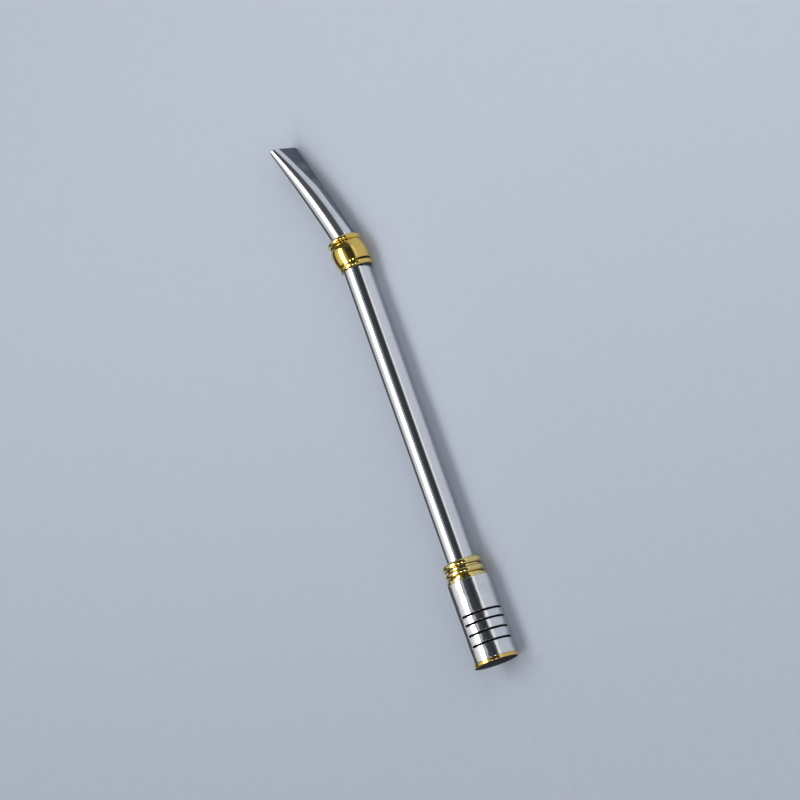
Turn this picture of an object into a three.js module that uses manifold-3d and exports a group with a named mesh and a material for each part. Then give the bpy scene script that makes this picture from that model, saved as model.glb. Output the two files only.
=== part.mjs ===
import * as THREE from 'three';
import { mergeVertices } from 'three/addons/utils/BufferGeometryUtils.js';
import Module from 'manifold-3d';

const wasm = await Module();
wasm.setup();

// A filter straw lying on a table, in millimetres. X runs along the straight tube, from the outer face of the
// bottom cap to the mouthpiece. Y is the way the mouthpiece bends, and Z points up from the table.

// Driving dimensions
const facets = 36;                 // around every turned piece
const beadSteps = 6;               // over a half-round ring's back
const solderGap = 0.05;            // between pieces that are soldered or pushed together
const seatGap = 0.25;              // between the ball collar's hand-set pieces and the tubes through them

const mainTube = { radius: 4.5, wall: 0.42, start: 28.4, end: 135.2 };

const mouth = {
  radius: 4.02, wall: 0.42,
  start: 126.6,                    // the shank's end inside the main tube
  bendStart: 137.0,                // where the shank stops being straight
  bendLength: 7.2, bendAngle: 17.5,
  bladeLength: 37.2, tipAngle: 20.3,   // the long, nearly straight stretch and the direction of its end
  pressStart: 4.2,                 // how far past the bend the tube begins to flatten
  tipThickness: 3.0,
  bendSteps: 6, bladeSteps: 14,
};
const shankLength = mouth.bendStart - mouth.start;
const bladeStart = shankLength + mouth.bendLength;
const pressLength = mouth.bladeLength - mouth.pressStart;
const mouthMiddle = mouth.radius - mouth.wall / 2;   // the middle of the tube's wall

// The ball and its two rings are set by hand, so each has a seat of its own. Tilt turns a piece's axis from X
// towards Y, and lean turns it from X towards Z, both in degrees.
const ball = {
  radius: 5.84, endRadius: 4.73, wall: 0.6, halfLength: 3.81,
  neck: 0.8,                       // the ball's short neck, which reaches into the upper ring
  outerSteps: 12, innerSteps: 6,
  seat: { x: 137.25, y: 0.305, z: 0.026, tilt: 12.5, lean: 1.6 },
};
const ballBeads = {
  ball_lower_bead: {
    radius: 5.5, foot: 4.2, halfWidth: 1.05,
    seat: { x: 133.31, y: -0.22, z: -0.22, tilt: 2.1, lean: 0 },
  },
  ball_upper_bead: {
    radius: 5.57, foot: 3.8, halfWidth: 1.08,
    seat: { x: 142.1, y: 0.834, z: 0.138, tilt: 5.6, lean: -2.9 },
  },
};

const collar = {
  flangeRadius: 6.75, flangeStart: 26.95, flangeEnd: 27.8, neckRadius: 5.45, end: 33.45, bore: 3.75,
};
const collarBead = { radius: 6.45, halfWidth: 1.05, stations: { upper: 32.38, lower: 29.67 } };
const spigot = { start: 22.4, radius: 4.95, leadIn: 0.3 };
const thread = {
  pitch: 1.25, height: 0.45, foot: 0.5, crest: 0.16, clearance: 0.17, start: 22.95, turns: 2,
  sunk: 0.2,                       // how far below its surface the ridge or the groove's cutter begins
};

const barrel = { radius: 7.1, bore: 6.3, start: 1.1, end: 26.9, chamfer: 0.15 };
const slit = { width: 0.7, stations: [6.1, 9.6, 12.95, 15.8], webHalfWidth: 1.85, sawAngle: 159 };
const bush = { start: 22.3, end: 26.1 };
const seal = { radius: 5.87, section: 0.34, station: 26.5, sides: 10 };
const cap = { radius: 7.2, rim: 1.05, chamfer: 0.2, floor: 1.3, skirtEnd: 3.1, skirtWall: 0.9 };

// Finishes
const metal = (color, roughness) => new THREE.MeshStandardMaterial({ color, roughness, metalness: 1 });
const finish = {
  steel: () => metal(0xc8cacc, 0.08),
  brass: () => metal(0xd8ab45, 0.1),
  rubber: () => new THREE.MeshStandardMaterial({ color: 0x2a2624, roughness: 0.7, metalness: 0 }),
};

// Turned pieces: a profile of [x, radius] points, the outer side running towards +X, turned about the X axis
function turned(profile) {
  const points = profile.map(([x, r]) => new THREE.Vector2(r, x));
  return new THREE.LatheGeometry(points, facets).rotateZ(-Math.PI / 2);
}

// A ring or sleeve, whose profile closes on itself
const ring = (profile) => turned([...profile, profile[0]]);

// Points on an arc of an ellipse in the plane of the profile, from one angle to another, in degrees
function arc(x, r, alongX, alongR, from, to, steps) {
  return Array.from({ length: steps + 1 }, (_, i) => {
    const angle = THREE.MathUtils.degToRad(from + (to - from) * i / steps);
    return [x - alongX * Math.cos(angle), r + alongR * Math.sin(angle)];
  });
}

// A half-round ring with a flat inner face
function bead(station, innerRadius, outerRadius, halfWidth) {
  return ring(arc(station, innerRadius, halfWidth, outerRadius - innerRadius, 0, 180, beadSteps));
}

// Puts a piece that was turned about the origin onto its seat
function seated(geometry, { x, y, z, tilt, lean }) {
  const turn = new THREE.Euler(0, THREE.MathUtils.degToRad(-lean), THREE.MathUtils.degToRad(tilt), 'ZYX');
  return geometry.applyMatrix4(new THREE.Matrix4().makeRotationFromEuler(turn).setPosition(x, y, z));
}

function mesh(name, geometry, material) {
  const piece = new THREE.Mesh(geometry, material);
  piece.name = name;
  return piece;
}

// Joining and cutting of closed shapes
function solid(geometry) {
  const plain = geometry.clone();
  plain.deleteAttribute('normal');
  plain.deleteAttribute('uv');
  const merged = mergeVertices(plain, 1e-5);
  return new wasm.Manifold(new wasm.Mesh({
    numProp: 3,
    vertProperties: new Float32Array(merged.attributes.position.array),
    triVerts: new Uint32Array(merged.index.array),
  }));
}

function geometryOf(shape) {
  const { vertProperties, triVerts } = shape.getMesh();
  const geometry = new THREE.BufferGeometry();
  geometry.setAttribute('position', new THREE.BufferAttribute(vertProperties, 3));
  geometry.setIndex(new THREE.BufferAttribute(triVerts, 1));
  geometry.computeVertexNormals();
  return geometry;
}

// A bar of trapezoid section wound round the X axis as a right-hand screw, its section's middle at start
function screw(innerRadius, outerRadius, innerWidth, outerWidth, start, turns) {
  const section = new THREE.Shape([
    new THREE.Vector2(innerRadius, -innerWidth / 2),
    new THREE.Vector2(outerRadius, -outerWidth / 2),
    new THREE.Vector2(outerRadius, outerWidth / 2),
    new THREE.Vector2(innerRadius, innerWidth / 2),
  ]);
  const steps = Math.round(turns * facets);
  const bar = new THREE.ExtrudeGeometry(section, { depth: turns, steps, bevelEnabled: false });
  const at = bar.attributes.position;
  for (let i = 0; i < at.count; i++) {
    const angle = 2 * Math.PI * at.getZ(i);
    const x = start + thread.pitch * at.getZ(i) - at.getY(i);
    at.setXYZ(i, x, at.getX(i) * Math.cos(angle), at.getX(i) * Math.sin(angle));
  }
  return bar;
}

// The mouthpiece's middle line: straight in the main tube, a short bend, then a long slight curve
function middleLine(distance) {
  const runs = [
    { length: shankLength, turn: 0 },
    { length: mouth.bendLength, turn: mouth.bendAngle },
    { length: mouth.bladeLength, turn: mouth.tipAngle - mouth.bendAngle },
  ];
  let [x, y, angle, left] = [mouth.start, 0, 0, distance];
  for (const run of runs) {
    const part = Math.min(left, run.length);
    const turn = THREE.MathUtils.degToRad(run.turn) * part / run.length;
    const chord = turn ? part * Math.sin(turn / 2) / (turn / 2) : part;
    x += chord * Math.cos(angle + turn / 2);
    y += chord * Math.sin(angle + turn / 2);
    angle += turn;
    left -= part;
  }
  return { x, y, angle };
}

// How thick the pressed tube is there, measured on the middle of its wall
function pressedThickness(distance) {
  const share = Math.max(0, (distance - bladeStart - mouth.pressStart) / pressLength);
  return THREE.MathUtils.lerp(2 * mouthMiddle, mouth.tipThickness - mouth.wall, share ** 2);
}

// Presses a round section into one with two flats and two round ends, and keeps its girth and its wall
function press(y, z, thickness) {
  const flat = Math.PI * (mouthMiddle - thickness / 2) / 2;
  const along = Math.atan2(Math.abs(z), Math.abs(y)) * mouthMiddle;
  const turn = Math.max(0, along - flat) / (thickness / 2);
  const reach = thickness / 2 + Math.hypot(y, z) - mouthMiddle;
  const up = Math.min(along, flat) + reach * Math.sin(turn);
  return [Math.sign(y) * reach * Math.cos(turn), Math.sign(z) * up];
}

// The distances along the middle line at which the mouthpiece has a ring of vertices
const bendStations = Array.from({ length: mouth.bendSteps + 1 },
  (_, i) => shankLength + mouth.bendLength * i / mouth.bendSteps);
const bladeStations = Array.from({ length: mouth.bladeSteps },
  (_, i) => bladeStart + mouth.bladeLength * (i + 1) / mouth.bladeSteps);
const roundStations = [0, ...bendStations, bladeStart + mouth.pressStart];   // where the tube is still round

// A straight tube, or a solid bar, pressed and bent along the middle line
function mouthShape(outerRadius, innerRadius, distances) {
  const axisRadius = 0.01;         // nearer to the axis than this counts as on it
  const outside = distances.map((d) => [d, outerRadius]);
  const inside = distances.map((d) => [d, innerRadius]).reverse();
  const first = distances[0];
  const last = distances[distances.length - 1];
  const shape = innerRadius ? ring([...outside, ...inside]) : turned([[first, 0], ...outside, [last, 0]]);
  const at = shape.attributes.position;
  for (let i = 0; i < at.count; i++) {
    const { x, y, angle } = middleLine(at.getX(i));
    const onAxis = Math.hypot(at.getY(i), at.getZ(i)) < axisRadius;
    const [across, up] = onAxis ? [0, 0] : press(at.getY(i), at.getZ(i), pressedThickness(at.getX(i)));
    at.setXYZ(i, x - across * Math.sin(angle), y + across * Math.cos(angle), up);
  }
  shape.computeVertexNormals();
  return shape;
}

function mouthpieceTube() {
  const shape = mouthShape(mouth.radius, mouth.radius - mouth.wall, [0, ...bendStations, ...bladeStations]);
  return mesh('mouthpiece_tube', shape, finish.steel());
}

function straightTube() {
  const { radius, wall, start, end } = mainTube;
  const profile = [[start, radius], [end, radius], [end, radius - wall], [start, radius - wall]];
  return mesh('main_tube', ring(profile), finish.steel());
}

// The ball collar hides the joint of the two tubes: a hollow ball between two half-round rings
function ballCollar() {
  const throughMain = turned([[mainTube.start, 0], [mainTube.start, mainTube.radius + seatGap],
    [mainTube.end + seatGap, mainTube.radius + seatGap], [mainTube.end + seatGap, 0]]);
  const throughMouth = mouthShape(mouth.radius + seatGap, 0, roundStations);
  const tubes = [throughMain, throughMouth].map(solid);
  const beadShape = ({ radius, foot, halfWidth, seat }, swell) => (
    solid(seated(bead(0, foot, radius + swell, halfWidth + swell), seat)));
  const less = (shape, cutters) => geometryOf(cutters.reduce((rest, cutter) => rest.subtract(cutter), shape));

  const { radius, endRadius, wall, halfLength, neck, outerSteps, innerSteps } = ball;
  const rise = radius - endRadius;
  const shell = ring([
    ...arc(0, endRadius, halfLength, rise, 0, 180, outerSteps),
    [halfLength + neck, endRadius], [halfLength + neck, endRadius - wall],
    ...arc(0, endRadius - wall, halfLength, rise, 180, 0, innerSteps),
  ]);
  const beads = Object.entries(ballBeads);
  const roomForBeads = beads.map(([, look]) => beadShape(look, solderGap));
  return [
    mesh('ball_shell', less(solid(seated(shell, ball.seat)), [...tubes, ...roomForBeads]), finish.brass()),
    ...beads.map(([name, look]) => mesh(name, less(beadShape(look, 0), tubes), finish.brass())),
  ];
}

// The lower collar: a sleeve over the main tube's end, a flange, and a threaded spigot for the barrel
function lowerCollar() {
  const socket = mainTube.radius + solderGap;
  const body = ring([
    [spigot.start, spigot.radius - spigot.leadIn],
    [spigot.start + spigot.leadIn, spigot.radius],
    [collar.flangeStart, spigot.radius],
    [collar.flangeStart, collar.flangeRadius],
    [collar.flangeEnd, collar.flangeRadius],
    [collar.flangeEnd, collar.neckRadius],
    [collar.end, collar.neckRadius],
    [collar.end, socket],
    [mainTube.start - solderGap, socket],
    [mainTube.start - solderGap, collar.bore],
    [spigot.start, collar.bore],
  ]);
  const ridge = screw(spigot.radius - thread.sunk, spigot.radius + thread.height, thread.foot, thread.crest,
    thread.start, thread.turns);
  return mesh('lower_collar', geometryOf(solid(body).add(solid(ridge))), finish.brass());
}

function collarBeads() {
  return Object.entries(collarBead.stations).map(([place, station]) => {
    const geometry = bead(station, collar.neckRadius + solderGap, collarBead.radius, collarBead.halfWidth);
    return mesh(`collar_${place}_bead`, geometry, finish.brass());
  });
}

// The filter barrel: four saw cuts from each of two sides leave two webs that hold it together
function filterBarrel() {
  const { radius, bore, start, end, chamfer } = barrel;
  const reach = 2 * radius;
  let shape = solid(ring([
    [start, radius - chamfer], [start + chamfer, radius], [end - chamfer, radius], [end, radius - chamfer],
    [end, bore], [start, bore],
  ]));
  for (const station of slit.stations) {
    for (const side of [-1, 1]) {
      const blade = new THREE.BoxGeometry(slit.width, reach, 2 * reach);
      blade.translate(station, side * (slit.webHalfWidth + reach / 2), 0);
      blade.rotateX(THREE.MathUtils.degToRad(slit.sawAngle));
      shape = shape.subtract(solid(blade));
    }
  }
  return mesh('filter_barrel', geometryOf(shape), finish.steel());
}

// A threaded bush, soldered into the barrel's mouth, whose groove is in step with the spigot's ridge
function barrelBush() {
  const outside = barrel.bore - solderGap;
  const inside = spigot.radius + thread.clearance;
  const sleeve = ring([[bush.start, outside], [bush.end, outside], [bush.end, inside], [bush.start, inside]]);
  const play = 2 * thread.clearance;
  const groove = screw(inside - thread.sunk, inside + thread.height, thread.foot + play, thread.crest + play,
    thread.start - thread.pitch, thread.turns + 2);
  return mesh('barrel_bush', geometryOf(solid(sleeve).subtract(solid(groove))), finish.brass());
}

function sealRing() {
  const { radius, section, station, sides } = seal;
  const profile = arc(station, radius, section, section, 0, 360, sides).slice(0, -1);
  return mesh('seal_ring', ring(profile), finish.rubber());
}

// The bottom cap: a disc whose rim shows below the barrel, with a skirt inside the barrel
function bottomCap() {
  const { radius, rim, chamfer, floor, skirtEnd, skirtWall } = cap;
  const skirt = barrel.bore - solderGap;
  return mesh('bottom_cap', turned([
    [0, 0], [0, radius - chamfer], [chamfer, radius], [rim, radius], [rim, skirt],
    [skirtEnd, skirt], [skirtEnd, skirt - skirtWall], [floor, skirt - skirtWall], [floor, 0],
  ]), finish.brass());
}

const tubeSide = new THREE.Group();
tubeSide.add(mouthpieceTube(), ...ballCollar(), straightTube(), lowerCollar(), ...collarBeads());

const filterSide = new THREE.Group();    // what unscrews from the lower collar
filterSide.add(sealRing(), barrelBush(), filterBarrel(), bottomCap());

const straw = new THREE.Group();
straw.add(tubeSide, filterSide);

export default straw;
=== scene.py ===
import math

import bmesh
import bpy
from mathutils import Matrix, Vector


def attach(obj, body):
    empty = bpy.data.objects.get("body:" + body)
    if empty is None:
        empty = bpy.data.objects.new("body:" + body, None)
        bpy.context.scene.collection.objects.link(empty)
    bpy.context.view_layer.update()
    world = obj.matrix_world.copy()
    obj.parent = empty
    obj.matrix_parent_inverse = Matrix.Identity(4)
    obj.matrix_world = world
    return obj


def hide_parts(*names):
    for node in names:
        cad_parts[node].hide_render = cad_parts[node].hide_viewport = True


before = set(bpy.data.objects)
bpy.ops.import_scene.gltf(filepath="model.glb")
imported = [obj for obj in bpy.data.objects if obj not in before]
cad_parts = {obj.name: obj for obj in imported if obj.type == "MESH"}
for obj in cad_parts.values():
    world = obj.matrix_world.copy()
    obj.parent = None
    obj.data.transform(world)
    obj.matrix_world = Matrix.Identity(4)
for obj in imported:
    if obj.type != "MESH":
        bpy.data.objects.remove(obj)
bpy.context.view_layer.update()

# Meshes are drawn in millimetres, X along the straight tube from the cap's outer face, and scaled when finished
millimetre = 0.001
around = 128      # steps round a turned piece
weld = 0.002      # points nearer than this become one
onPlane = 0.001   # points nearer than this to a cutting plane lie on it
skin = 0.05       # faces this near a bore's radius or an end belong to it
near = 0.1        # the same for edges, and for what lies under a rounding
fineEdge = 0.05   # the rounding of a small turned edge
tubeAxis = (1, 0, 0)
origin = (0, 0, 0)


# Small helpers

def clamped(value):
    return min(1, max(0, value))


def outline(bm, points, closed=True):  # a profile of (x, radius) points
    verts = [bm.verts.new((x, r, 0)) for x, r in points]
    pairs = list(zip(verts, verts[1:]))
    if closed:
        pairs.append((verts[-1], verts[0]))
    return verts + [bm.edges.new(pair) for pair in pairs]


def close(bm):
    bmesh.ops.remove_doubles(bm, verts=bm.verts[:], dist=weld)
    bmesh.ops.recalc_face_normals(bm, faces=bm.faces[:])


def turned(points, closed=True):  # the profile spun once round the tube's axis
    bm = bmesh.new()
    bmesh.ops.spin(bm, geom=outline(bm, points, closed), cent=origin, axis=tubeAxis,
                   angle=math.tau, steps=around, use_merge=True)
    close(bm)
    return bm


def arc(x, r, alongX, alongR, start, end, steps):  # part of an oval from its -X side over the top to +X
    turns = [math.radians(start + (end - start) * i / steps) for i in range(steps + 1)]
    return [(x - alongX * math.cos(t), r + alongR * math.sin(t)) for t in turns]


def soften(bm, width, segments=3, sharper=40, where=lambda at: True):  # rounds the edges sharper than an angle
    edges = [e for e in bm.edges if len(e.link_faces) == 2
             and e.calc_face_angle(0) > math.radians(sharper)
             and where((e.verts[0].co + e.verts[1].co) / 2)]
    bmesh.ops.bevel(bm, geom=edges, offset=width, offset_type="OFFSET", affect="EDGES",
                    segments=segments, profile=0.5, material=-1, clamp_overlap=True)


def ringCut(bm, *stations):
    for x in stations:
        bmesh.ops.bisect_plane(bm, geom=bm.verts[:] + bm.edges[:] + bm.faces[:], dist=onPlane,
                               plane_co=(x, 0, 0), plane_no=tubeAxis)


def radius(co):
    return math.hypot(co.y, co.z)


def dull(bm, hidden, finish=1):  # gives some faces another finish: unpolished insides, tarnish, and faces painted dark as shade
    for face in bm.faces:
        if hidden(face.calc_center_median()):
            face.material_index = finish


def asMesh(name, bm):
    mesh = bpy.data.meshes.new(name)
    bm.to_mesh(mesh)
    bm.free()
    return mesh


def joined(name, base, cutter, operation):  # exact boolean of two closed shapes
    objects = [bpy.data.objects.new(name + "_" + part, asMesh(name + "_" + part, bm))
               for part, bm in (("base", base), ("cutter", cutter))]
    for obj in objects:
        bpy.context.scene.collection.objects.link(obj)
    boolean = objects[0].modifiers.new("boolean", "BOOLEAN")
    boolean.operation = operation
    boolean.solver = "EXACT"
    boolean.object = objects[1]
    shape = objects[0].evaluated_get(bpy.context.evaluated_depsgraph_get())
    bm = bmesh.new()
    bm.from_mesh(shape.to_mesh())
    shape.to_mesh_clear()
    for obj in objects:
        mesh = obj.data
        bpy.data.objects.remove(obj)
        bpy.data.meshes.remove(mesh)
    return bm


def finished(name, bm, finishes, body, node, smooth=38):
    bmesh.ops.scale(bm, vec=(millimetre,) * 3, verts=bm.verts[:])
    mesh = asMesh(name, bm)
    for finish in finishes:
        mesh.materials.append(finish)
    mesh.shade_smooth()
    mesh.set_sharp_from_angle(angle=math.radians(smooth))
    obj = bpy.data.objects.new(name, mesh)
    bpy.context.scene.collection.objects.link(obj)
    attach(obj, body)
    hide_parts(node)
    print(name, "has", sum(len(p.vertices) - 2 for p in mesh.polygons), "triangles")
    return obj


# Shader maths: a value is one output socket, and an expression on values adds the nodes

class Value:
    def __init__(self, finish, socket):
        self.finish, self.socket = finish, socket

    def math(self, operation, *values):
        return self.finish.add("ShaderNodeMath", {"operation": operation}, dict(enumerate(values)))

    def __add__(self, other):
        return self.math("ADD", self, other)

    def __sub__(self, other):
        return self.math("SUBTRACT", self, other)

    def __rsub__(self, other):
        return self.math("SUBTRACT", other, self)

    def __mul__(self, other):
        return self.math("MULTIPLY", self, other)

    __radd__, __rmul__ = __add__, __mul__


class Finish:
    def __init__(self, name, world=False):
        self.block = (bpy.data.worlds if world else bpy.data.materials).new(name)
        self.block.use_nodes = True
        self.tree = self.block.node_tree
        self.tree.nodes.clear()

    def add(self, kind, settings=None, sockets=None, out=0):
        node = self.tree.nodes.new(kind)
        for key, value in (settings or {}).items():
            if key == "stops":
                ramp = node.color_ramp.elements
                while len(ramp) < len(value):
                    ramp.new(0.5)
                for stop, (place, colour) in zip(ramp, value):
                    stop.position, stop.color = place, colour
            else:
                setattr(node, key, value)
        for key, value in (sockets or {}).items():
            if isinstance(value, Value):
                self.tree.links.new(value.socket, node.inputs[key])
            else:
                node.inputs[key].default_value = value
        return Value(self, node.outputs[out]) if node.outputs else None

    def place(self, scale=(1, 1, 1), turn=(0, 0, 0)):  # object coordinates, in millimetres
        coordinates = self.add("ShaderNodeTexCoord", out="Object")
        size = [s / millimetre for s in scale]
        return self.add("ShaderNodeMapping", None, {"Vector": coordinates, "Rotation": turn, "Scale": size})

    def noise(self, scale, detail, rough=0.5, turn=(0, 0, 0)):  # a scale for each axis, in waves a millimetre
        return self.add("ShaderNodeTexNoise", None,
                        {"Vector": self.place(scale, turn), "Scale": 1, "Detail": detail, "Roughness": rough})

    def ramp(self, value, low, high, to=(0, 1)):
        return self.add("ShaderNodeMapRange", {"clamp": True, "interpolation_type": "SMOOTHSTEP"},
                        {"Value": value, "From Min": low, "From Max": high, "To Min": to[0], "To Max": to[1]})

    def mix(self, mask, a, b):  # colour a where the mask is 0, colour b where it is 1
        return self.add("ShaderNodeMix", {"data_type": "RGBA"}, {0: mask, 6: a, 7: b}, out=2)

    def bump(self, height, strength, distance, normal=None):
        sockets = {"Height": height, "Strength": strength, "Distance": distance}
        if normal:
            sockets["Normal"] = normal
        return self.add("ShaderNodeBump", None, sockets)

    def surface(self, sockets):
        shader = self.add("ShaderNodeBsdfPrincipled", None, sockets)
        self.add("ShaderNodeOutputMaterial", None, {"Surface": shader})
        return self.block


# Finishes

# Marks of every polished metal here: noise scales in waves a millimetre, and the noise levels from none to full
marks = {
    "broadScale": (0.16, 0.16, 0.16), "smudged": (0.48, 0.72),   # handling marks, some millimetres wide
    "fineScale": (0.9, 0.9, 0.9), "dented": (0.66, 0.72), "tinted": (0.35, 0.65),
    "scratchScale": (9, 0.22, 0.22), "scratchTurn": (0, 0.35, 0.5), "scratched": (0.66, 0.74),
    "scratchRough": 0.05,
    "lineDepth": 0.000004,   # in metres, as every bump's depth is
    "lacquerIor": 1.7,
}


# A look has its colours, its roughness and what smudges and fine grain add to it, the scale and strength of the
# polishing lines and of the hand polishing's waves, and the relief of dents and scratches
def polishedMetal(name, look):
    f = Finish(name)
    broad = f.noise(marks["broadScale"], detail=4)
    fine = f.noise(marks["fineScale"], detail=6, rough=0.65)
    lines = f.noise(look["lineScale"], detail=2)   # the polishing wheel's fine lines
    scratch = f.noise(marks["scratchScale"], detail=1, turn=marks["scratchTurn"])
    scratchMask = f.ramp(scratch, *marks["scratched"])
    dents = f.ramp(fine, *marks["dented"]) * look["dents"]
    smudge = f.ramp(broad, *marks["smudged"])
    tint = f.mix(f.ramp(fine * 0.6 + broad * 0.4, *marks["tinted"]), look["deep"], look["bright"])
    colour = f.mix(smudge * look["smudgeShade"], tint, look["stain"])
    if "paintedDarkReflection" in look:   # the pressed flats and the underside are painted dark grey, a painted reflection of the shaded floor; the share comes from the pressed attribute
        paintedDarkMask = f.add("ShaderNodeAttribute", {"attribute_name": "pressed"}, out="Fac")
        colour = f.mix(paintedDarkMask * f.ramp(broad, 0.1, 0.5, (0.75, 1)), colour, look["paintedDarkReflection"])
    rough = look["rough"] + smudge * look["smudge"] + (fine - 0.5) * look["fine"]
    rough += scratchMask * marks["scratchRough"]
    wave = f.noise(look["waveScale"], detail=1)
    normal = f.bump(wave, look["wave"], look["waveDepth"])
    normal = f.bump(lines + scratchMask * look["scratch"] + dents, look["line"], marks["lineDepth"], normal)
    return f.surface({"Base Color": colour, "Metallic": 1.0, "Roughness": f.ramp(rough, 0.0, 1.0),
                      "Coat Weight": look["lacquer"], "Coat IOR": marks["lacquerIor"], "Normal": normal})


steelLook = {
    "deep": (0.89, 0.88, 0.87, 1), "bright": (0.98, 0.965, 0.945, 1), "stain": (0.76, 0.75, 0.74, 1),
    "rough": 0.045, "smudge": 0.05, "smudgeShade": 0.25, "fine": 0.03,
    "lineScale": (5, 0.15, 0.15), "line": 0.25,
    "waveScale": (0.12, 0.3, 0.3), "wave": 0.05, "waveDepth": 0.00008,
    "dents": 0, "scratch": 0, "lacquer": 0,
}
tubeSteel = polishedMetal("polished_steel_tube", steelLook)
mouthSteel = polishedMetal("polished_steel_mouthpiece", {
    **steelLook, "waveScale": (0.1, 0.2, 0.2), "paintedDarkReflection": (0.12, 0.138, 0.165, 1)})
barrelSteel = polishedMetal("polished_steel_barrel", {
    **steelLook, "rough": 0.06, "lineScale": (7, 0.2, 0.2), "line": 0.4,
    "waveScale": (0.3, 0.45, 0.45), "wave": 0.35, "waveDepth": 0.0002, "dents": 6, "scratch": 0.6})

brassLook = {
    "deep": (0.96, 0.63, 0.10, 1), "bright": (1.0, 0.70, 0.15, 1), "stain": (0.74, 0.49, 0.10, 1),
    "rough": 0.07, "smudge": 0.07, "smudgeShade": 0.4, "fine": 0.05,
    "lineScale": (8, 0.3, 0.3), "line": 0.35,
    "waveScale": (0.45, 0.45, 0.45), "wave": 0.25, "waveDepth": 0.0001,
    "dents": 0, "scratch": 0.6, "lacquer": 0.8,
}
ballBrass = polishedMetal("polished_brass_ball", brassLook)
collarBrass = polishedMetal("polished_brass_collar", {
    **brassLook,
    "deep": (0.90, 0.66, 0.18, 1), "bright": (0.98, 0.77, 0.29, 1), "stain": (0.62, 0.46, 0.12, 1)})
capBrass = polishedMetal("polished_brass_cap", {**brassLook, "rough": 0.09})


def rawMetal(name, look):  # sawn, soldered or unpolished metal, and near-black faces painted as shade
    f = Finish(name)
    grain = f.noise((1.2, 1.2, 1.2), detail=6, rough=0.7)
    pits = f.noise((5, 5, 5), detail=2)
    return f.surface({"Base Color": f.mix(f.ramp(grain, 0.38, 0.64), look["dark"], look["light"]),
                      "Metallic": look["metallic"], "Specular IOR Level": look.get("sheen", 0.5),
                      "Roughness": f.ramp(grain, 0.3, 0.7, look["rough"]),
                      "Normal": f.bump(grain + pits * 0.5, look["grain"], 0.00003)})


boreSteel = rawMetal("unpolished_steel_bore", {
    "dark": (0.10, 0.095, 0.09, 1), "light": (0.30, 0.295, 0.29, 1),
    "metallic": 0.9, "rough": (0.35, 0.55), "grain": 0.4})
# near black: the slits' walls and the barrel's bore are painted as the shade inside them
sawnSteelPaintedShade = rawMetal("sawn_steel_painted_shade", {
    "dark": (0.010, 0.010, 0.011, 1), "light": (0.045, 0.044, 0.044, 1),
    "metallic": 0.5, "rough": (0.6, 0.85), "grain": 0.6})
dullBrass = rawMetal("unpolished_brass", {
    "dark": (0.20, 0.12, 0.03, 1), "light": (0.46, 0.31, 0.09, 1),
    "metallic": 1.0, "rough": (0.3, 0.5), "grain": 0.4})
# tarnish in the joints, darkened further as painted shade between the parts
tarnishAndPaintedShade = rawMetal("tarnished_brass_and_painted_shade", {
    "dark": (0.028, 0.023, 0.008, 1), "light": (0.10, 0.08, 0.026, 1),
    "metallic": 0.9, "rough": (0.3, 0.5), "grain": 0.5})
# a near-black face: painted shade and dark reflection
paintedShadeFace = rawMetal("painted_shade_face", {
    "dark": (0.012, 0.010, 0.010, 1), "light": (0.024, 0.019, 0.018, 1),
    "metallic": 0, "rough": (0.45, 0.6), "grain": 0.3, "sheen": 0.02})
solder = rawMetal("tarnished_solder", {
    "dark": (0.018, 0.020, 0.018, 1), "light": (0.10, 0.10, 0.085, 1),
    "metallic": 0.8, "rough": (0.3, 0.5), "grain": 0.5})


def softRubber(name, look):
    f = Finish(name)
    grain = f.noise((3, 3, 3), detail=5, rough=0.7)
    return f.surface({"Base Color": f.mix(f.ramp(grain, 0.4, 0.65), look["dark"], look["light"]),
                      "Roughness": f.ramp(grain, 0.3, 0.7, (0.55, 0.8)), "Normal": f.bump(grain, 0.3, 0.00002)})


sealRubber = softRubber("seal_rubber", {"dark": (0.012, 0.011, 0.010, 1), "light": (0.03, 0.027, 0.024, 1)})
print("finishes made")


# Mouthpiece: a straight tube, pressed flat towards its end and bent

mouth = {
    "radius": 4.02, "wall": 0.42,
    "start": 126.6,        # the shank's end inside the main tube
    "bendStart": 137.0, "bendLength": 7.2, "bendAngle": 17.5,
    "bladeLength": 37.2, "tipAngle": 20.3,   # the long, nearly straight stretch
    "pressStart": 4.2,     # how far past the bend the tube begins to flatten
    "tipThickness": 3.0,
    "lip": 0.13,
    "ringStep": 0.6, "lastRing": 0.28,   # between the rings of points, and from the last one to the end
}
# The painted dark reflection covers the flats, runs over their lower edges and thins out along the underside:
# dark grey painted where the steel would mirror the shaded floor
paintedDarkReflection = {
    "past": 1.3, "edge": 0.35,            # millimetres over the lower edge, and the width of the soft edge
    "fullWidth": 1.2,                     # half a flat's width from which it is fully grey
    "retreat": 0.1, "retreatStart": 45,   # the upper edge draws back towards the tip
    "under": 0.9, "underEdge": 6,         # the underside's share, and its soft edge in degrees
    "first": 2, "rise": 14,               # degrees below the side where the underside begins, and its rise
    "riseStart": 16, "riseLength": 12,    # along the tube
}
shankLength = mouth["bendStart"] - mouth["start"]
bladeStart = shankLength + mouth["bendLength"]
mouthMiddle = mouth["radius"] - mouth["wall"] / 2


def mouthLine(distance):  # the middle line's point and direction at a distance from the shank's end
    x, y, angle, left = mouth["start"], 0.0, 0.0, distance
    for length, turn in ((shankLength, 0), (mouth["bendLength"], mouth["bendAngle"]),
                         (mouth["bladeLength"], mouth["tipAngle"] - mouth["bendAngle"])):
        part = min(left, length)
        turn = math.radians(turn) * part / length
        chord = part * math.sin(turn / 2) / (turn / 2) if turn else part
        x += chord * math.cos(angle + turn / 2)
        y += chord * math.sin(angle + turn / 2)
        angle += turn
        left -= part
    return x, y, angle


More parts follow.
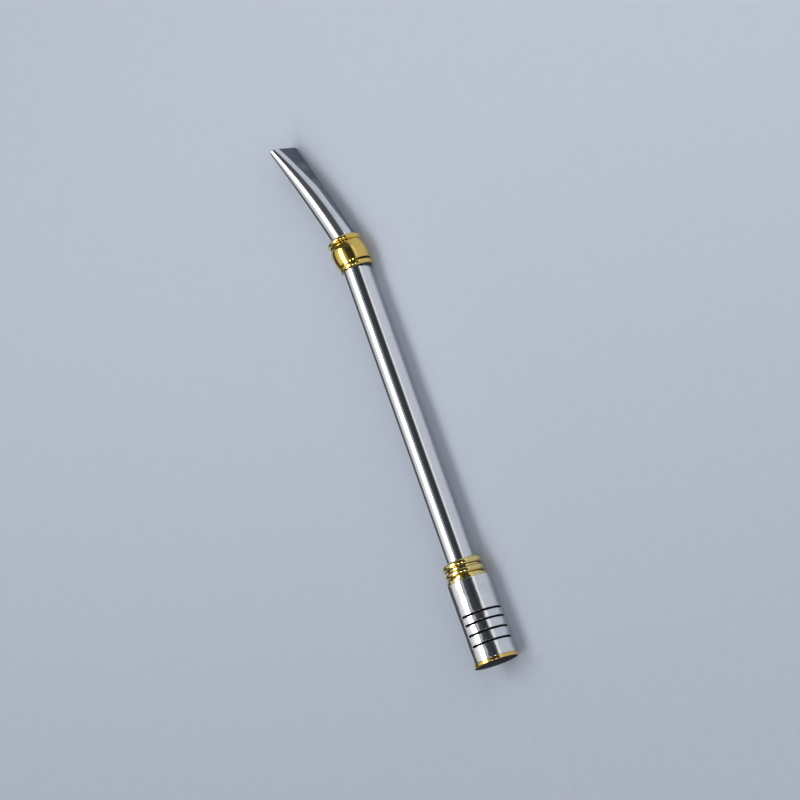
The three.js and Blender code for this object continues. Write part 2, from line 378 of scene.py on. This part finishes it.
def flatHalf(distance):  # half the thickness there, and half the width of a flat
    share = max(0, (distance - bladeStart - mouth["pressStart"]) / (mouth["bladeLength"] - mouth["pressStart"]))
    half = mouthMiddle + ((mouth["tipThickness"] - mouth["wall"]) / 2 - mouthMiddle) * share ** 2
    return half, math.pi * (mouthMiddle - half) / 2


def paintedDarkShare(y, z, distance):  # the share of painted dark reflection: 1 on a flat, less along the underside, 0 elsewhere
    flat = flatHalf(distance)[1]
    inside = flat - math.atan2(abs(z), abs(y)) * mouthMiddle
    inside += paintedDarkReflection["past"] if z < 0 else -paintedDarkReflection["retreat"] * max(0, distance - paintedDarkReflection["retreatStart"])
    onFlat = clamped(inside / paintedDarkReflection["edge"] + 0.5) * clamped(flat / paintedDarkReflection["fullWidth"])
    first = paintedDarkReflection["first"] - paintedDarkReflection["rise"] * clamped((distance - paintedDarkReflection["riseStart"]) / paintedDarkReflection["riseLength"])
    under = clamped((math.degrees(math.atan2(-z, abs(y))) - first) / paintedDarkReflection["underEdge"])
    return max(onFlat, paintedDarkReflection["under"] * under)


def pressed(y, z, distance):  # the round section becomes two flats and two round ends of the same girth
    half, flat = flatHalf(distance)
    along = math.atan2(abs(z), abs(y)) * mouthMiddle
    turn = max(0, along - flat) / half
    reach = half + math.hypot(y, z) - mouthMiddle
    return (math.copysign(reach * math.cos(turn), y),
            math.copysign(min(along, flat) + reach * math.sin(turn), z))


def mouthpieceTube():
    total = bladeStart + mouth["bladeLength"]
    inner = mouth["radius"] - mouth["wall"]
    bm = turned([(0, inner), (0, mouth["radius"]), (total, mouth["radius"]), (total, inner)])
    soften(bm, mouth["lip"], segments=4)
    dull(bm, lambda at: radius(at) < inner + skin)
    rings = math.floor((total - mouth["lastRing"]) / mouth["ringStep"])
    ringCut(bm, *[i * mouth["ringStep"] for i in range(1, rings + 1)], total - mouth["lastRing"])
    # the pressed attribute holds each point's share of painted dark reflection
    paintedDarkMask = bm.verts.layers.float.new("pressed")
    for vert in bm.verts:
        x, y, angle = mouthLine(vert.co.x)
        vert[paintedDarkMask] = paintedDarkShare(vert.co.y, vert.co.z, vert.co.x)
        across, up = pressed(vert.co.y, vert.co.z, vert.co.x)
        vert.co = (x - across * math.sin(angle), y + across * math.cos(angle), up)
    finished("mouthpiece", bm, [mouthSteel, boreSteel], "straw", "mouthpiece_tube")


mouthpieceTube()


# Main tube

mainTube = {"radius": 4.5, "wall": 0.42, "start": 28.4, "end": 135.2, "lip": 0.12, "ringStep": 3, "lastRing": 0.3}


def straightTube():
    start, end = mainTube["start"], mainTube["end"]
    outer, inner = mainTube["radius"], mainTube["radius"] - mainTube["wall"]
    bm = turned([(start, inner), (start, outer), (end, outer), (end, inner)])
    soften(bm, mainTube["lip"])
    first = math.ceil(start / mainTube["ringStep"]) * mainTube["ringStep"]
    ringCut(bm, start + mainTube["lastRing"], *range(first, math.floor(end), mainTube["ringStep"]),
            end - mainTube["lastRing"])
    dull(bm, lambda at: radius(at) < inner + skin)
    finished("mainTube", bm, [tubeSteel, boreSteel], "straw", "main_tube")


straightTube()


# Ball collar: a hollow ball between two half-round rings, each set by hand on a seat of its own

ball = {
    "radius": 5.84, "endRadius": 4.73, "wall": 0.6, "halfLength": 3.81, "neck": 0.8,
    "outerSteps": 48, "innerSteps": 24, "tarnishedAndShaded": 0.18,   # how far in from its ends it is tarnished and painted with shade
    "seat": {"at": (137.25, 0.305, 0.026), "tilt": 12.5, "lean": 1.6},   # tilt goes towards +Y, lean towards +Z
}
ballBeads = {
    "lower": {"radius": 5.5, "bore": 4.25, "half": 1.05, "solder": 1.0,
              "seat": {"at": (133.31, -0.22, -0.22), "tilt": 2.1, "lean": 0}, "tube": (0, 0)},
    "upper": {"radius": 5.57, "bore": 3.8, "half": 1.08, "solder": 0,
              "seat": {"at": (142.1, 0.834, 0.138), "tilt": 5.6, "lean": -2.9}, "tube": (0.55, 0)},
}
beadSteps = 26
beadEnds = {"tarnishedAndShaded": 0.8, "soldered": 0.85, "foot": 0.9}   # where they begin, as shares of a ring's half
beadSolder = {
    "side": Vector((0, -0.71, -0.704)), "spread": 0.6,   # where the lower ring stands away from the tube
    "hides": 40, "halfWay": 0.35, "top": 0.7,            # degrees of the half round, and shares of its height
}


def seated(bm, seat):  # puts a shape made about the origin onto its seat
    for angle, axis in ((-seat["lean"], "Y"), (seat["tilt"], "Z")):
        bmesh.ops.rotate(bm, cent=origin, verts=bm.verts[:],
                         matrix=Matrix.Rotation(math.radians(angle), 3, axis))
    bmesh.ops.translate(bm, vec=seat["at"], verts=bm.verts[:])
    return bm


def ballShell():
    rise = ball["radius"] - ball["endRadius"]
    inner, end = ball["endRadius"] - ball["wall"], ball["halfLength"] + ball["neck"]
    bm = turned(arc(0, ball["endRadius"], ball["halfLength"], rise, 0, 180, ball["outerSteps"])
                + [(end, ball["endRadius"]), (end, inner)]
                + arc(0, inner, ball["halfLength"], rise, 180, 0, ball["innerSteps"]))
    dull(bm, lambda at: abs(at.x) > ball["halfLength"] - ball["tarnishedAndShaded"])
    finished("ballShell", seated(bm, ball["seat"]), [ballBrass, tarnishAndPaintedShade], "straw", "ball_shell")


def ballBead(place, look):
    bore, half, height = look["bore"], look["half"], look["radius"] - look["bore"]
    start, fillet = 0, []
    if look["solder"]:
        start = beadSolder["hides"]
        fillet = [(-half - look["solder"], bore),
                  (-half - 0.5 * look["solder"], bore + beadSolder["halfWay"] * height)]
    bm = turned(fillet + arc(0, bore, half, height, start, 180, beadSteps))
    soften(bm, fineEdge, segments=2)
    ballSide = 1 if look["solder"] else -1   # the soldered ring is below the ball
    dull(bm, lambda at: at.x * ballSide > beadEnds["tarnishedAndShaded"] * half, finish=2)
    if look["solder"]:
        top = bore + beadSolder["top"] * height
        dull(bm, lambda at: at.x < -beadEnds["soldered"] * half and radius(at) < top)
    shift = Vector((0, *look["tube"])) - Vector((0, *look["seat"]["at"][1:]))
    for vert in bm.verts:
        spare = vert.co.x + beadEnds["foot"] * half
        if look["solder"] and spare < 0:   # the solder stands up on one side only
            stands = max(0, vert.co.normalized().dot(beadSolder["side"])) ** beadSolder["spread"]
            vert.co.x -= spare * (1 - stands)
        vert.co += shift * min(1, (look["radius"] - radius(vert.co)) / height)   # the bore stays on the tube
    finished("ballBead_" + place, seated(bm, look["seat"]), [ballBrass, solder, tarnishAndPaintedShade],
             "straw", f"ball_{place}_bead")


ballShell()
for place, look in ballBeads.items():
    ballBead(place, look)


# Lower collar: a sleeve over the main tube's end, a flange, and a threaded spigot

collar = {
    "flangeRadius": 6.75, "flangeStart": 26.95, "flangeEnd": 27.8, "neckRadius": 5.45, "end": 33.45,
    "bore": 3.75, "socket": 4.52, "shoulder": 28.35, "edge": 0.1,
    "spigotStart": 22.4, "spigotRadius": 4.95, "leadIn": 0.3,
    "beadRadius": 6.45, "beadHalf": 1.05, "beads": {"upper": 32.38, "lower": 29.67},
    "beadSteps": 24, "tarnishedAndShaded": 0.42,   # how far up from the neck a ring is tarnished and painted with shade
}
thread = {"pitch": 1.25, "height": 0.45, "foot": 0.5, "crest": 0.16, "start": 22.95, "turns": 2,
          "sunk": 0.2, "clearance": 0.17}


def threadBar(innerRadius, outerRadius, innerWidth, outerWidth, start, turns):
    bm = bmesh.new()
    corners = [(-innerWidth, innerRadius), (innerWidth, innerRadius),
               (outerWidth, outerRadius), (-outerWidth, outerRadius)]
    section = bm.faces.new([bm.verts.new((start + x / 2, r, 0)) for x, r in corners])
    bmesh.ops.spin(bm, geom=[section], cent=origin, axis=tubeAxis, dvec=(thread["pitch"] / around, 0, 0),
                   angle=math.tau * turns, steps=turns * around)
    close(bm)
    return bm


def lowerCollar():
    c = collar
    body = turned([
        (c["spigotStart"], c["bore"]), (c["spigotStart"], c["spigotRadius"] - c["leadIn"]),
        (c["spigotStart"] + c["leadIn"], c["spigotRadius"]), (c["flangeStart"], c["spigotRadius"]),
        (c["flangeStart"], c["flangeRadius"]), (c["flangeEnd"], c["flangeRadius"]),
        (c["flangeEnd"], c["neckRadius"]), (c["end"], c["neckRadius"]),
        (c["end"], c["socket"]), (c["shoulder"], c["socket"]), (c["shoulder"], c["bore"])])
    soften(body, c["edge"], where=lambda at: radius(at) > c["neckRadius"] - near)
    ridge = threadBar(c["spigotRadius"] - thread["sunk"], c["spigotRadius"] + thread["height"],
                      thread["foot"], thread["crest"], thread["start"], thread["turns"])
    bm = joined("lowerCollar", body, ridge, "UNION")
    dull(bm, lambda at: radius(at) < c["neckRadius"] - 2 * near)
    finished("lowerCollar", bm, [collarBrass, dullBrass], "straw", "lower_collar")
    for place, station in c["beads"].items():
        height = c["beadRadius"] - c["neckRadius"]
        bead = turned(arc(station, c["neckRadius"], c["beadHalf"], height, 0, 180, c["beadSteps"]))
        soften(bead, fineEdge, segments=2)
        dull(bead, lambda at: radius(at) < c["neckRadius"] + c["tarnishedAndShaded"])
        finished("collarBead_" + place, bead, [collarBrass, tarnishAndPaintedShade],
                 "straw", f"collar_{place}_bead")


lowerCollar()


# Filter barrel: four saw cuts from each of two sides, with a web left on either side

barrel = {
    "radius": 7.1, "wall": 0.8, "start": 1.1, "end": 26.9, "edge": 0.15,
    "slitWidth": 0.7, "slits": (6.1, 9.6, 12.95, 15.8), "slitEdge": 0.05,
    "webMiddle": 69, "webHalf": 15.1, "webSteps": 12, "cutSteps": 60,   # angles from +Y towards +Z
    "plainRings": (20, 23.5), "endRing": 0.4, "slitRing": 0.25,   # rings of points that keep the shading even
}


def filterBarrel():
    b = barrel
    half = b["slitWidth"] / 2
    stations = {b["start"], b["start"] + b["endRing"], b["end"] - b["endRing"], b["end"], *b["plainRings"]}
    for middle in b["slits"]:
        stations |= {middle - half, middle + half, middle - half - b["slitRing"], middle + half + b["slitRing"]}
    bm = bmesh.new()
    geom = outline(bm, [(x, b["radius"]) for x in sorted(stations)], closed=False)
    bmesh.ops.rotate(bm, cent=origin, verts=bm.verts[:],
                     matrix=Matrix.Rotation(math.radians(b["webMiddle"] - b["webHalf"]), 3, "X"))
    for angle, steps in ((2 * b["webHalf"], b["webSteps"]), (180 - 2 * b["webHalf"], b["cutSteps"])) * 2:
        spun = bmesh.ops.spin(bm, geom=geom, cent=origin, axis=tubeAxis, angle=math.radians(angle), steps=steps)
        geom = spun["geom_last"]
    close(bm)

    def inSlit(face):
        at = face.calc_center_median()
        turn = (math.degrees(math.atan2(at.z, at.y)) - b["webMiddle"] + 90) % 180 - 90
        return abs(turn) > b["webHalf"] and any(abs(at.x - s) < half for s in b["slits"])

    bmesh.ops.delete(bm, geom=[f for f in bm.faces if inSlit(f)], context="FACES")
    bmesh.ops.solidify(bm, geom=bm.faces[:], thickness=b["wall"])
    bmesh.ops.recalc_face_normals(bm, faces=bm.faces[:])
    soften(bm, b["edge"], sharper=60, where=lambda at: not b["start"] + near <= at.x <= b["end"] - near)
    soften(bm, b["slitEdge"], segments=2, sharper=60)
    # the bore and the slits' walls take the near-black finish, painted shade
    dull(bm, lambda at: radius(at) < b["radius"] - near and b["start"] + 2 * near < at.x < b["end"] - 2 * near)
    finished("filterBarrel", bm, [barrelSteel, sawnSteelPaintedShade], "filter", "filter_barrel", smooth=50)


filterBarrel()


# Threaded bush in the barrel's mouth, and the seal that the flange presses on it

bush = {"start": 22.3, "end": 26.1, "radius": 6.27, "above": 0.2}
seal = {"radius": 5.87, "section": 0.34, "station": 26.5}


def barrelBush():
    inside = collar["spigotRadius"] + thread["clearance"]
    play = 2 * thread["clearance"]
    sleeve = turned([(bush["start"], bush["radius"]), (bush["end"], bush["radius"]),
                     (bush["end"], inside), (bush["start"], inside)])
    groove = threadBar(inside - bush["above"], inside + thread["height"], thread["foot"] + play,
                       thread["crest"] + play, thread["start"] - thread["pitch"], thread["turns"] + 2)
    bm = joined("barrelBush", sleeve, groove, "DIFFERENCE")
    finished("barrelBush", bm, [dullBrass], "filter", "barrel_bush")


def sealRing():
    bm = bmesh.new()
    section = bmesh.ops.create_circle(bm, segments=20, radius=seal["section"])["verts"]
    bmesh.ops.translate(bm, vec=(seal["station"], seal["radius"], 0), verts=section)
    bmesh.ops.spin(bm, geom=bm.verts[:] + bm.edges[:], cent=origin, axis=tubeAxis,
                   angle=math.tau, steps=around, use_merge=True)
    close(bm)
    finished("sealRing", bm, [sealRubber], "seal", "seal_ring")


barrelBush()
sealRing()


# Bottom cap

cap = {
    "radius": 7.2, "rim": 1.05, "edge": 0.2, "innerEdge": 0.1,   # the rim's rounding outside and at the barrel
    "floor": 1.3, "skirtEnd": 3.1, "skirt": 6.27, "skirtWall": 0.9,
}


def bottomCap():
    c = cap
    inside = c["skirt"] - c["skirtWall"]
    bm = turned([(0, 0), (0, c["radius"]), (c["rim"], c["radius"]), (c["rim"], c["skirt"]),
                 (c["skirtEnd"], c["skirt"]), (c["skirtEnd"], inside), (c["floor"], inside), (c["floor"], 0)],
                closed=False)
    soften(bm, c["edge"], segments=4, where=lambda at: radius(at) > c["skirt"] + near and at.x < c["rim"] / 2)
    soften(bm, c["innerEdge"], sharper=60, where=lambda at: radius(at) > c["skirt"] + near)
    dull(bm, lambda at: radius(at) < inside + skin and at.x > c["floor"] / 2)
    dull(bm, lambda at: at.x < skin and radius(at) < c["radius"] - c["edge"], finish=2)   # the outer face, painted near black as shade and a dark reflection
    finished("bottomCap", bm, [capBrass, dullBrass, paintedShadeFace], "filter", "bottom_cap")


bottomCap()
print("pieces made")


# Camera, floor and light

cameraLook = {
    "lens": 180, "sensor": 36, "clip": (0.05, 20), "at": (-0.163700, -0.862615, 0.872722),
    "right": (-0.329185, -0.621867, -0.710577), "up": (0.922625, -0.372008, -0.101854),
    "back": (-0.201000, -0.689124, 0.696209),
}


def photoCamera():
    data = bpy.data.cameras.new("camera")
    data.lens, data.sensor_width = cameraLook["lens"], cameraLook["sensor"]
    data.clip_start, data.clip_end = cameraLook["clip"]
    obj = bpy.data.objects.new("camera", data)
    turn = Matrix([cameraLook[axis] for axis in ("right", "up", "back")]).transposed()
    obj.matrix_world = Matrix.Translation(cameraLook["at"]) @ turn.to_4x4()
    bpy.context.scene.collection.objects.link(obj)
    bpy.context.scene.camera = obj


photoCamera()

# Directions round the tube are angles from +Y towards +Z, and lean is how far a direction turns towards +X
middleOfStraw = Vector((0.085, 0.002, 0))


def towards(turn, lean):
    t, l = math.radians(turn), math.radians(lean)
    return Vector((math.sin(l), math.cos(l) * math.cos(t), math.cos(l) * math.sin(t)))


def panelPlace(turn, lean, distance, roll=0):  # local X runs along the straw, local Z away from it
    back = towards(turn, lean)
    side = Vector(tubeAxis)
    side = (side - back * side.dot(back)).normalized()
    facing = Matrix([side, back.cross(side), back]).transposed().to_4x4()
    return (Matrix.Translation(middleOfStraw + back * distance) @ facing
            @ Matrix.Rotation(math.radians(roll), 4, "Z"))


def softbox(name, look):
    light = bpy.data.lights.new(name, "AREA")
    light.shape = "RECTANGLE"
    light.size, light.size_y = look["size"]
    light.color = look.get("colour", (1, 1, 1))
    light.energy = look["energy"]
    obj = bpy.data.objects.new(name, light)
    obj.matrix_world = panelPlace(*look["place"])
    obj.visible_glossy = look.get("mirrored", True)
    bpy.context.scene.collection.objects.link(obj)


# A panel's place is its turn, its lean, its distance from the straw and its roll: degrees, metres and watts
softboxes = {
    "topSoftbox": {"size": (1.9, 0.6), "energy": 14, "place": (81.5, 2, 1.35, 3), "colour": (1, 0.995, 0.985)},
    "shadowKey": {"size": (0.55, 0.55), "energy": 2.6, "place": (63, -41, 1.6), "colour": (1, 0.99, 0.97)},
    "frontFill": {"size": (1.6, 1.3), "energy": 19.2, "place": (143, 5, 1.6), "mirrored": False},
    "farCard": {"size": (1.3, 0.92), "energy": 1.5, "place": (50, 14, 1.5), "colour": (0.96, 0.98, 1)},
    "rightCard": {"size": (1.7, 0.42), "energy": 0.72, "place": (167, 14, 1.6), "colour": (1, 0.93, 0.86)},
    "catchlightLeft": {"size": (0.40, 0.22), "energy": 1.3, "place": (117, -27, 1.5)},
    "catchlightRight": {"size": (0.40, 0.22), "energy": 1.3, "place": (139, -27, 1.5)},
}
for name, look in softboxes.items():
    softbox(name, look)


def plainPanel(name, look):
    bm = bmesh.new()
    bmesh.ops.create_grid(bm, x_segments=1, y_segments=1, size=0.5)
    bmesh.ops.scale(bm, vec=(*look["size"], 1), verts=bm.verts[:])
    bmesh.ops.transform(bm, matrix=panelPlace(*look["place"]), verts=bm.verts[:])
    f = Finish(name)
    grain = f.noise((0.02, 0.02, 0.02), detail=3)
    # the panel's colour runs from dark to light by height, a painted falloff of light
    height = f.add("ShaderNodeSeparateXYZ", None, {0: f.place()}, out="Z")
    shade = f.ramp(height, *look["paintedFalloff"]) * 0.9 + grain * 0.1
    f.surface({"Base Color": f.mix(shade, look["dark"], look["light"]), "Roughness": 0.8})
    mesh = asMesh(name, bm)
    mesh.materials.append(f.block)
    obj = bpy.data.objects.new(name, mesh)
    bpy.context.scene.collection.objects.link(obj)


plainPanel("cameraSideScreen", {
    "size": (1.5, 1.25), "place": (130, 14, 1.75),
    "dark": (0.028, 0.032, 0.036, 1), "light": (0.12, 0.125, 0.135, 1), "paintedFalloff": (1150, 1750),   # painted light: lighter towards the top
})

floorLook = {
    "radius": 5.0, "rest": ((0.0006, -0.0072), (0.1377, -0.00585)),   # the cap's rim and the ball touch it
    "pale": (0.26, 0.29, 0.345, 1), "paler": (0.39, 0.425, 0.495, 1), "paintedFalloff": (-160, 240),   # painted light: lighter along +X
    "far": (450, 2300), "farGlow": (0.31, 0.335, 0.385, 1),   # far away the floor glows, painted light that blends it into the studio's light
}


def paleFloor():
    (x0, z0), (x1, z1) = floorLook["rest"]
    bm = bmesh.new()
    bmesh.ops.create_circle(bm, cap_ends=True, segments=96, radius=floorLook["radius"])
    bmesh.ops.rotate(bm, cent=origin, verts=bm.verts[:],
                     matrix=Matrix.Rotation(-math.atan2(z1 - z0, x1 - x0), 3, "Y"))
    bmesh.ops.translate(bm, vec=(0, 0, z0 - x0 * (z1 - z0) / (x1 - x0)), verts=bm.verts[:])
    f = Finish("pale_floor")
    grain = f.noise((0.3, 0.3, 0.3), detail=4)
    along = f.add("ShaderNodeSeparateXYZ", None, {0: f.place()}, out="X")
    paintedFalloff = f.ramp(along, *floorLook["paintedFalloff"]) * 0.8 + grain * 0.2
    distance = f.add("ShaderNodeVectorMath", {"operation": "LENGTH"}, {0: f.place()}, out="Value")
    glow = f.mix(f.ramp(distance, *floorLook["far"]), (0, 0, 0, 1), floorLook["farGlow"])
    f.surface({"Base Color": f.mix(paintedFalloff, floorLook["pale"], floorLook["paler"]), "Roughness": 0.6,
               "Emission Color": glow, "Emission Strength": 1.0})
    mesh = asMesh("floor", bm)
    mesh.materials.append(f.block)
    obj = bpy.data.objects.new("floor", mesh)
    bpy.context.scene.collection.objects.link(obj)


paleFloor()


worldLook = {
    "lean": 0.12,   # the sky's bands rise a little towards +Y
    "sky": ((0.0, (0.44, 0.47, 0.54, 1)), (0.12, (0.40, 0.43, 0.49, 1)), (0.28, (0.065, 0.075, 0.085, 1)),
            (0.72, (0.065, 0.075, 0.085, 1)), (0.93, (0.40, 0.42, 0.46, 1)), (1.0, (0.45, 0.47, 0.50, 1))),
}


def studioWorld():
    f = Finish("studio", world=True)
    direction = f.add("ShaderNodeTexCoord", out="Generated")
    beyond, up = (f.add("ShaderNodeSeparateXYZ", None, {0: direction}, out=axis) for axis in "YZ")
    sky = f.add("ShaderNodeValToRGB", {"stops": worldLook["sky"]}, {0: up + beyond * worldLook["lean"]})
    background = f.add("ShaderNodeBackground", None, {"Color": sky, "Strength": 1.0})
    f.add("ShaderNodeOutputWorld", None, {"Surface": background})
    bpy.context.scene.world = f.block


studioWorld()
bpy.context.scene.view_settings.view_transform = "Standard"
print("stage made")
